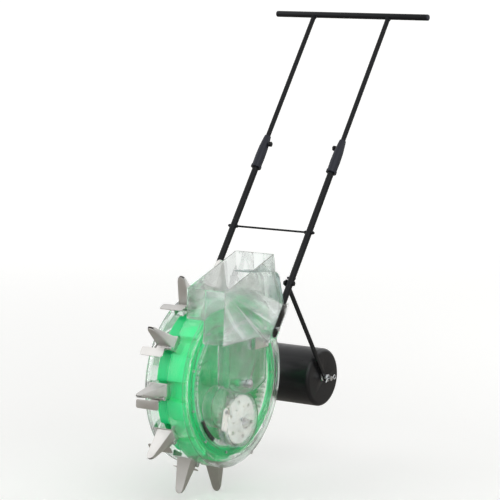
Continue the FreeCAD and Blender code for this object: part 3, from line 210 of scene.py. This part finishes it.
def clear_polycarbonate():
    """Injection-moulded clear polycarbonate: glossy, faintly green, with flow ripples that bend what is behind."""
    m = new_material("clear_polycarbonate")
    ripple = noise(m, 26, 2)
    fine = noise(m, 3.2, 3)
    rough = between(m, fine, "Fac", 0.0, 0.03)
    bump = add_node(m, "ShaderNodeBump", {"Strength": 0.25, "Distance": 0.4 * MM}, {"Height": (ripple, "Fac")})
    clear = add_node(m, "ShaderNodeBsdfPrincipled",
                     {"IOR": 1.42, "Transmission Weight": 1.0, "Base Color": linear(settings().clear_tint)},
                     {"Roughness": (rough, "Result"), "Normal": (bump, "Normal")})
    straight_through = add_node(m, "ShaderNodeBsdfTransparent", {"Color": linear("#FDFFFE")})
    thin_wall = add_node(m, "ShaderNodeMixShader", {0: 0.3}, {1: (clear, "BSDF"), 2: (straight_through, "BSDF")})
    rays = add_node(m, "ShaderNodeLightPath")
    both = add_node(m, "ShaderNodeMixShader", None, {0: (rays, "Is Shadow Ray"), 1: (thin_wall, "Shader"),
                                                     2: (straight_through, "BSDF")})
    return output(m, both, "Shader")


def polycarbonate_painted_dark_reflection():
    """Clear polycarbonate whose grey-green body colour paints in the dark reflection of the tube and background:
    the same gloss, with a deeper body colour.
    """
    m = new_material("polycarbonate_painted_dark_reflection")
    ripple = noise(m, 18, 2)
    rough = between(m, ripple, "Fac", 0.03, 0.1)
    # grey-green mottling painted in as the dark reflection of the black tube and background
    depth = mixed_colours(m, ripple, "Fac", "#7E9A98", "#C9D6D4")
    bump = add_node(m, "ShaderNodeBump", {"Strength": 0.6, "Distance": 1.2 * MM}, {"Height": (ripple, "Fac")})
    clear = add_node(m, "ShaderNodeBsdfPrincipled", {"IOR": 1.5, "Transmission Weight": 1.0},
                     {"Base Color": (depth, 2), "Roughness": (rough, "Result"), "Normal": (bump, "Normal")})
    # the grey-green tint on the straight-through part is also painted dark reflection
    straight_through = add_node(m, "ShaderNodeBsdfTransparent", {"Color": linear("#E4EDEB")})
    thin_wall = add_node(m, "ShaderNodeMixShader", {0: 0.25}, {1: (clear, "BSDF"), 2: (straight_through, "BSDF")})
    rays = add_node(m, "ShaderNodeLightPath")
    both = add_node(m, "ShaderNodeMixShader", None, {0: (rays, "Is Shadow Ray"), 1: (thin_wall, "Shader"),
                                                     2: (straight_through, "BSDF")})
    return output(m, both, "Shader")


def green_polypropylene():
    """Injection-moulded polypropylene in a strong green: glossy, and light enters it a little."""
    m = new_material("green_polypropylene")
    flow = noise(m, 45, 3)
    grain = noise(m, 1.2, 3)
    colour = mixed_colours(m, flow, "Fac", settings().tray_colour, "#20E48E")
    rough = between(m, flow, "Fac", 0.26, 0.38)
    bump = add_node(m, "ShaderNodeBump", {"Strength": 0.08, "Distance": 0.1 * MM}, {"Height": (grain, "Fac")})
    return output(m, add_node(m, "ShaderNodeBsdfPrincipled", {"IOR": 1.49, "Subsurface Weight": 0.15,
                                                              "Subsurface Scale": 4 * MM},
                              {"Base Color": (colour, 2), "Roughness": (rough, "Result"),
                               "Normal": (bump, "Normal")}))


def white_acetal():
    """Machined white acetal: matt, faintly warm, with light turning marks."""
    m = new_material("white_acetal")
    cloud = noise(m, 20, 3)
    colour = mixed_colours(m, cloud, "Fac", "#E9E8E2", "#F6F6F2")
    rough = between(m, cloud, "Fac", 0.32, 0.46)
    grain = noise(m, 0.8, 2)
    bump = add_node(m, "ShaderNodeBump", {"Strength": 0.1, "Distance": 0.1 * MM}, {"Height": (grain, "Fac")})
    return output(m, add_node(m, "ShaderNodeBsdfPrincipled", {"IOR": 1.48, "Subsurface Weight": 0.1,
                                                              "Subsurface Scale": 3 * MM},
                              {"Base Color": (colour, 2), "Roughness": (rough, "Result"),
                               "Normal": (bump, "Normal")}))


def pressed_stainless_sheet():
    """Pressed stainless sheet: rolled along its length, a little cloudy, with soft scratches."""
    m = new_material("pressed_stainless_sheet")
    place = add_node(m, "ShaderNodeTexCoord")
    stretched = add_node(m, "ShaderNodeMapping", {"Scale": (1.0, 14.0, 1.0)}, {"Vector": (place, "Object")})
    rolled = add_node(m, "ShaderNodeTexNoise", {"Scale": 1 / (6 * MM), "Detail": 4.0, "Roughness": 0.6},
                      {"Vector": (stretched, "Vector")})
    cloud = noise(m, 24, 4)
    colour = mixed_colours(m, cloud, "Fac", "#BDBCBA", "#D2D0CD")
    rough = between(m, cloud, "Fac", 0.4, 0.54)
    bump = add_node(m, "ShaderNodeBump", {"Strength": 0.12, "Distance": 0.06 * MM},
                    {"Height": (rolled, "Fac")})
    return output(m, add_node(m, "ShaderNodeBsdfPrincipled", {"Metallic": 1.0},
                              {"Base Color": (colour, 2), "Roughness": (rough, "Result"),
                               "Normal": (bump, "Normal")}))


def bright_zinc_plate():
    """Bright zinc plate on steel: pale, slightly blue, with small plating spangles."""
    m = new_material("bright_zinc_plate")
    spangle = noise(m, 2.4, 4)
    colour = mixed_colours(m, spangle, "Fac", "#BFC2C6", "#DADBDC")
    rough = between(m, spangle, "Fac", 0.2, 0.36)
    return output(m, add_node(m, "ShaderNodeBsdfPrincipled", {"Metallic": 1.0},
                              {"Base Color": (colour, 2), "Roughness": (rough, "Result")}))


def nylon_bristle():
    """Packed nylon bristle: black, with the fine combed lines of its ends."""
    m = new_material("nylon_bristle")
    combed = noise(m, 0.8, 2)
    colour = mixed_colours(m, combed, "Fac", "#0C0C0D", "#2A2B2C")
    bump = add_node(m, "ShaderNodeBump", {"Strength": 0.6, "Distance": 0.4 * MM}, {"Height": (combed, "Fac")})
    return output(m, add_node(m, "ShaderNodeBsdfPrincipled", {"IOR": 1.53, "Roughness": 0.6},
                              {"Base Color": (colour, 2), "Normal": (bump, "Normal")}))


MAKERS = {
    "black_tube": powder_coated_steel, "dark_plastic": moulded_nylon_black,
    "black_plastic": moulded_nylon_black, "roller_plastic": moulded_polyethylene,
    "bright_steel": bright_zinc_plate, "beak_steel": pressed_stainless_sheet,
    "clear_plastic": clear_polycarbonate, "green_plastic": green_polypropylene,
    "white_plastic": white_acetal, "black_bristle": nylon_bristle,
}


def finish_of(slot):
    """The material of a slot, made when it is first asked for."""
    maker = MAKERS[slot]
    return bpy.data.materials.get(maker.__name__) or maker()


def paint(piece, slot):
    piece.data.materials.clear()
    piece.data.materials.append(finish_of(slot))


# ---------------------------------------------------------------- modelling helpers

def pick(piece):
    """Selects one piece alone and makes it active."""
    bpy.ops.object.select_all(action="DESELECT")
    piece.select_set(True)
    bpy.context.view_layer.objects.active = piece
    return piece


def apply_modifiers(piece):
    pick(piece)
    for modifier in list(piece.modifiers):
        bpy.ops.object.modifier_apply(modifier=modifier.name)


def smooth(piece, degrees=32):
    pick(piece)
    bpy.ops.object.shade_smooth_by_angle(angle=math.radians(degrees))


def select_where(piece, test):
    """In edit mode, selects the vertices that pass a test."""
    bpy.ops.object.mode_set(mode="OBJECT")
    for part in (piece.data.polygons, piece.data.edges, piece.data.vertices):
        for item in part:
            item.select = False
    for vertex in piece.data.vertices:
        vertex.select = test(vertex)
    bpy.ops.object.mode_set(mode="EDIT")


def bevelled(piece, width, segments=2, degrees=30):
    bevel = piece.modifiers.new("edge", "BEVEL")
    bevel.width, bevel.segments = width, segments
    bevel.limit_method, bevel.angle_limit = "ANGLE", math.radians(degrees)
    apply_modifiers(piece)


def at_origin(piece):
    """Puts a piece's place, turn and size into its mesh."""
    pick(piece)
    bpy.ops.object.transform_apply(location=True, rotation=True, scale=True)


def placed(piece, name, body, slot, replaced=()):
    """Names a finished piece, gives it its finish and lets it ride on its body."""
    at_origin(piece)
    piece.name = piece.data.name = name
    paint(piece, slot)
    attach(piece, body)
    if replaced:
        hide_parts(*replaced)


def point(x, y, z):
    """A place given in millimetres from the axle's middle."""
    return AXLE + Vector((x, y, z)) * MM


def start_edge(low, high):
    """An edge between two points, made from a plane whose long sides are merged."""
    bpy.ops.object.select_all(action="DESELECT")
    bpy.ops.mesh.primitive_plane_add(size=1)
    piece = bpy.context.active_object
    bpy.ops.object.mode_set(mode="EDIT")
    bpy.ops.transform.resize(value=(0.0, high.y - low.y, 1.0))
    bpy.ops.mesh.remove_doubles(threshold=0.01 * MM)
    bpy.ops.transform.translate(value=(low + high) / 2)
    return piece


def ribbon(outline, low, high, thick):
    """A sheet of the given thickness, run along an outline of X and Z between two Y positions."""
    places = [point(x, 0, z) for x, z in outline]
    across = Vector((0, 1, 0)) * MM
    piece = start_edge(places[0] + across * low, places[0] + across * high)
    for first, second in zip(places, places[1:]):
        bpy.ops.mesh.extrude_region_move(TRANSFORM_OT_translate={"value": second - first})
    bpy.ops.object.mode_set(mode="OBJECT")
    wall = piece.modifiers.new("wall", "SOLIDIFY")
    wall.thickness, wall.offset = thick * MM, 0.0
    apply_modifiers(piece)
    bpy.ops.object.mode_set(mode="EDIT")
    bpy.ops.mesh.select_all(action="SELECT")
    bpy.ops.mesh.normals_make_consistent(inside=False)
    bpy.ops.object.mode_set(mode="OBJECT")
    return piece


def arc(centre, radius, start, stop, steps):
    """Points in X and Z round a centre, from one angle to another in degrees."""
    angles = [math.radians(start + (stop - start) * i / steps) for i in range(steps + 1)]
    return [(centre[0] + radius * math.cos(a), centre[1] + radius * math.sin(a)) for a in angles]


def softened(node, width):
    """A piece made from a CAD node: merged, its flat faces joined, and its hard edges rounded."""
    mesh = NODES[node].data.copy()
    piece = bpy.data.objects.new(node + "_shape", mesh)
    bpy.context.scene.collection.objects.link(piece)
    pick(piece)
    bpy.ops.object.mode_set(mode="EDIT")
    bpy.ops.mesh.select_all(action="SELECT")
    bpy.ops.mesh.remove_doubles(threshold=0.004 * MM)
    bpy.ops.mesh.dissolve_limited(angle_limit=math.radians(1.0))
    bpy.ops.object.mode_set(mode="OBJECT")
    bevelled(piece, width)
    smooth(piece)
    placed(piece, node + "_finished", BODY_OF[node], SLOT_OF[node], [node])
    paint(piece, PAINTED_OVER.get(node, SLOT_OF[node]))


# ---------------------------------------------------------------- operators

class SEEDER_OT_stage(Operator):
    """Pale floor, soft lamps and the camera."""

    bl_idname = "seeder.stage"
    bl_label = "Stage"

    def execute(self, context):
        scene = context.scene
        scene.view_settings.view_transform = "Standard"
        bpy.ops.object.select_all(action="DESELECT")
        bpy.ops.mesh.primitive_plane_add(size=160, location=(0, 0, 0))
        floor = context.active_object
        floor.name = "floor"
        at_origin(floor)
        m = new_material("pale_floor")
        plain = add_node(m, "ShaderNodeBsdfPrincipled", {"Base Color": linear("#F4F4F2"), "Roughness": 0.8})
        # the lamps reach less of the floor further out, so its own glow grows there to stay white
        place = add_node(m, "ShaderNodeTexCoord")
        away = add_node(m, "ShaderNodeVectorMath", None, {0: (place, "Object")}, operation="LENGTH")
        lift = between(m, away, "Value", 0.14, 0.52, 0.8, 5.0)
        white = add_node(m, "ShaderNodeEmission", {"Color": (*settings().backdrop, 1.0)},
                         {"Strength": (lift, "Result")})
        rays = add_node(m, "ShaderNodeLightPath")
        seen = add_node(m, "ShaderNodeMath", None, {0: (rays, "Is Camera Ray"), 1: (rays, "Is Transmission Ray")},
                        operation="MAXIMUM")
        glow = add_node(m, "ShaderNodeMixShader", None, {0: (seen, "Value"), 2: (white, "Emission")})
        both = add_node(m, "ShaderNodeAddShader", None, {0: (plain, "BSDF"), 1: (glow, "Shader")})
        shade = add_node(m, "ShaderNodeBsdfDiffuse", {"Color": linear("#B8B3AB")})
        only_mirrored = add_node(m, "ShaderNodeMath", None, {0: (rays, "Is Glossy Ray"),
                                                             1: (rays, "Is Transmission Ray")},
                                 operation="SUBTRACT", use_clamp=True)
        mirrored = add_node(m, "ShaderNodeMixShader", None, {0: (only_mirrored, "Value"),
                                                             1: (both, "Shader"), 2: (shade, "BSDF")})
        output(m, mirrored, "Shader")
        floor.data.materials.append(m)

        world = bpy.data.worlds.new("studio")
        scene.world = world
        world.use_nodes = True
        world.node_tree.nodes.clear()
        rays = add_node(world, "ShaderNodeLightPath")
        camera_or_glossy = add_node(world, "ShaderNodeMath", None,
                                    {0: (rays, "Is Camera Ray"), 1: (rays, "Is Glossy Ray")},
                                    operation="MAXIMUM")
        shown = add_node(world, "ShaderNodeMath", None,
                         {0: (camera_or_glossy, "Value"), 1: (rays, "Is Transmission Ray")},
                         operation="MAXIMUM")
        strength = add_node(world, "ShaderNodeMapRange", {"To Min": 0.55, "To Max": 1.0},
                            {"Value": (shown, "Value")})
        sky = add_node(world, "ShaderNodeBackground", {"Color": (*settings().backdrop, 1.0)},
                       {"Strength": (strength, "Result")})
        add_node(world, "ShaderNodeOutputWorld", links={"Surface": (sky, "Background")})

        for name, place, size, power in LAMPS:
            bpy.ops.object.light_add(type="AREA", location=place)
            lamp = context.active_object
            lamp.name, lamp.data.size, lamp.data.energy = name, size, power
            lamp.rotation_euler = (LAMP_TARGET - lamp.location).to_track_quat("-Z", "Y").to_euler()

        back = Vector((math.sin(CAMERA_AZIMUTH) * math.cos(CAMERA_RISE),
                       -math.cos(CAMERA_AZIMUTH) * math.cos(CAMERA_RISE), math.sin(CAMERA_RISE)))
        bpy.ops.object.camera_add(location=AXLE + CAMERA_FROM_AXLE)
        camera = context.active_object
        camera.data.sensor_width, camera.data.lens = 36, 158.0
        camera.rotation_euler = (back.to_track_quat("Z", "Y") @ Quaternion((0, 0, 1), CAMERA_ROLL)).to_euler()
        camera.data.clip_end = 300
        scene.camera = camera
        return {"FINISHED"}


class SEEDER_OT_metal_and_tubes(Operator):
    """Finishes of every CAD piece, and rounded edges on the bar, fasteners, arms, hub, roller and gears."""

    bl_idname = "seeder.metal_and_tubes"
    bl_label = "Tubes, fasteners and roller"

    def execute(self, context):
        for node, piece in NODES.items():
            paint(piece, PAINTED_OVER.get(node, SLOT_OF[node]))
        for node in SMALL_PARTS:
            softened(node, EDGE_OF.get(node, settings().sheet_edge))
        return {"FINISHED"}


class SEEDER_OT_hopper(Operator):
    """Clear hopper with its wing, outer panel, metering chamber and side cover."""

    bl_idname = "seeder.hopper"
    bl_label = "Hopper"

    def execute(self, context):
        edge = settings().mould_edge
        for node in CLEAR_HOPPER:
            softened(node, 1.2 * edge)
        softened("metering_chamber", edge)
        softened("side_cover", edge)
        return {"FINISHED"}


class SEEDER_OT_hopper_hood(Operator):
    """Rounded hood that folds forward from the hopper's rear wall."""

    bl_idname = "seeder.hopper_hood"
    bl_label = "Hopper hood"

    def execute(self, context):
        corner = arc(HOOD_CORNER, HOOD_CORNER_RADIUS, 172.0, 98.0, 10)
        hood = ribbon(HOOD_FOOT + corner + HOOD_TOP, *HOOD_Y, HOOD_WALL)
        bevelled(hood, 0.8 * MM, 2)
        smooth(hood, 40)
        placed(hood, "hopper_hood", "frame", "clear_plastic")
        # the hood's grey-green tint is a painted dark reflection of the tube and background
        hood.data.materials.clear()
        hood.data.materials.append(polycarbonate_painted_dark_reflection())
        return {"FINISHED"}


class SEEDER_OT_hopper_bracket(Operator):
    """Clear boxed bracket at the hopper's rear corner, where the tube is bolted."""

    bl_idname = "seeder.hopper_bracket"
    bl_label = "Hopper bracket"

    def execute(self, context):
        bpy.ops.object.select_all(action="DESELECT")
        bpy.ops.mesh.primitive_cube_add(size=1)
        bracket = context.active_object
        bpy.ops.object.mode_set(mode="EDIT")
        bpy.ops.transform.resize(value=Vector(BRACKET_SIZE) * MM)
        bpy.ops.transform.translate(value=point(*BRACKET_MIDDLE))
        bpy.ops.object.mode_set(mode="OBJECT")
        for face in bracket.data.polygons:
            face.select = face.normal.y > 0.9
        bpy.ops.object.mode_set(mode="EDIT")
        bpy.ops.mesh.inset(thickness=BRACKET_WALL * MM, depth=0.0)
        pocket = BRACKET_SIZE[1] - BRACKET_WALL
        bpy.ops.mesh.extrude_region_move(TRANSFORM_OT_translate={"value": (0.0, -pocket * MM, 0.0)})
        bpy.ops.object.mode_set(mode="OBJECT")
        bevelled(bracket, 0.9 * MM, 3)
        smooth(bracket, 35)
        placed(bracket, "hopper_bracket", "frame", "clear_plastic")
        return {"FINISHED"}


class SEEDER_OT_axle_spring(Operator):
    """Coil spring round the axle, with closed ends."""

    bl_idname = "seeder.axle_spring"
    bl_label = "Axle spring"

    def execute(self, context):
        low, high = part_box("axle_spring")
        radius = (high.x - low.x) / 2 - 1.4 * SPRING_WIRE
        bpy.ops.object.select_all(action="DESELECT")
        bpy.ops.mesh.primitive_circle_add(vertices=10, radius=SPRING_WIRE, fill_type="NOTHING",
                                          rotation=(math.pi / 2, 0, 0))
        coil = context.active_object
        bpy.ops.object.mode_set(mode="EDIT")
        bpy.ops.transform.translate(value=(radius, 0, 0))
        bpy.ops.object.mode_set(mode="OBJECT")
        at_origin(coil)
        turn = coil.modifiers.new("turns", "SCREW")
        turn.axis, turn.angle, turn.iterations = "Z", 2 * math.pi, SPRING_TURNS
        turn.screw_offset = (high.y - low.y - 2 * SPRING_WIRE) / SPRING_TURNS
        turn.steps = turn.render_steps = 28
        apply_modifiers(coil)
        bpy.ops.object.mode_set(mode="EDIT")
        bpy.ops.mesh.select_all(action="SELECT")
        bpy.ops.mesh.remove_doubles(threshold=0.01 * MM)
        bpy.ops.mesh.select_all(action="DESELECT")
        bpy.ops.mesh.select_non_manifold()
        bpy.ops.mesh.edge_face_add()
        bpy.ops.mesh.select_all(action="SELECT")
        bpy.ops.mesh.normals_make_consistent(inside=False)
        bpy.ops.object.mode_set(mode="OBJECT")
        coil.rotation_euler = (-math.pi / 2, 0, 0)
        coil.location = (AXLE.x, low.y + SPRING_WIRE, AXLE.z)
        at_origin(coil)
        smooth(coil, 60)
        placed(coil, "axle_spring_coil", "frame", "bright_steel", ["axle_spring"])
        return {"FINISHED"}


class SEEDER_OT_weld_beads(Operator):
    """Rippled weld beads where the handle tubes meet the T bar."""

    bl_idname = "seeder.weld_beads"
    bl_label = "Weld beads"

    def execute(self, context):
        low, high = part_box("t_bar")
        bar = (low + high) / 2
        up = Vector((-math.sin(HANDLE_LEAN), 0, math.cos(HANDLE_LEAN)))
        for side in ("left", "right"):
            tube_low, tube_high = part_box(f"upper_tube_{side}")
            tube_radius = (tube_high.y - tube_low.y) / 2
            bpy.ops.object.select_all(action="DESELECT")
            bpy.ops.mesh.primitive_torus_add(major_radius=tube_radius, minor_radius=WELD_BEAD,
                                             major_segments=48, minor_segments=8)
            bead = context.active_object
            bpy.ops.object.mode_set(mode="EDIT")
            for k in range(0, 360, 15):
                select_where(bead, lambda v, a=k: abs((math.degrees(math.atan2(v.co.y, v.co.x)) - a + 180)
                                                      % 360 - 180) < 4)
                bpy.ops.transform.resize(value=(1.05, 1.05, 1.25), center_override=(0, 0, 0))
            bpy.ops.mesh.select_all(action="SELECT")
            bpy.ops.object.mode_set(mode="OBJECT")
            rounder = bead.modifiers.new("ripple", "SUBSURF")
            rounder.levels = rounder.render_levels = 1
            apply_modifiers(bead)
            bead.rotation_euler = up.to_track_quat("Z", "Y").to_euler()
            bead.location = Vector((bar.x, (tube_low.y + tube_high.y) / 2, bar.z)) - up * WELD_RISE
            at_origin(bead)
            smooth(bead, 60)
            placed(bead, f"weld_bead_{side}", "handle", "black_tube")
        return {"FINISHED"}


class SEEDER_OT_drum(Operator):
    """Clear drum walls and the green seed tray."""

    bl_idname = "seeder.drum"
    bl_label = "Drum"

    def execute(self, context):
        edge = settings().mould_edge
        for node in ("drum_disc_right", "drum_ring_left", "seed_tray", "seed_pockets"):
            softened(node, edge)
        return {"FINISHED"}


class SEEDER_OT_beaks(Operator):
    """Pressed steel beaks with their opening flaps."""

    bl_idname = "seeder.beaks"
    bl_label = "Beaks"

    def execute(self, context):
        edge = settings().sheet_edge
        for node in ["fixed_beaks"] + FLAPS:
            softened(node, edge)
        return {"FINISHED"}


OPERATORS = (SEEDER_OT_stage, SEEDER_OT_metal_and_tubes, SEEDER_OT_hopper, SEEDER_OT_hopper_hood,
             SEEDER_OT_hopper_bracket, SEEDER_OT_axle_spring, SEEDER_OT_weld_beads, SEEDER_OT_drum,
             SEEDER_OT_beaks)


class SEEDER_PT_sidebar(Panel):
    """Shows the seeder's settings and a button for each step."""

    bl_idname = "SEEDER_PT_sidebar"
    bl_label = "Seeder"
    bl_space_type = "VIEW_3D"
    bl_region_type = "UI"
    bl_category = "Seeder"

    def draw(self, context):
        layout = self.layout
        for word in SeederSettings.__annotations__:
            layout.prop(context.scene.seeder_settings, word)
        for operator in OPERATORS:
            layout.operator(operator.bl_idname)


CLASSES = (SeederSettings, *OPERATORS, SEEDER_PT_sidebar)


def register():
    for cls in CLASSES:
        bpy.utils.register_class(cls)
    bpy.types.Scene.seeder_settings = PointerProperty(type=SeederSettings)


def unregister():
    del bpy.types.Scene.seeder_settings
    for cls in reversed(CLASSES):
        bpy.utils.unregister_class(cls)


def main():
    register()
    for operator in OPERATORS:
        group, action = operator.bl_idname.split(".")
        getattr(getattr(bpy.ops, group), action)()


if __name__ == "__main__":
    main()
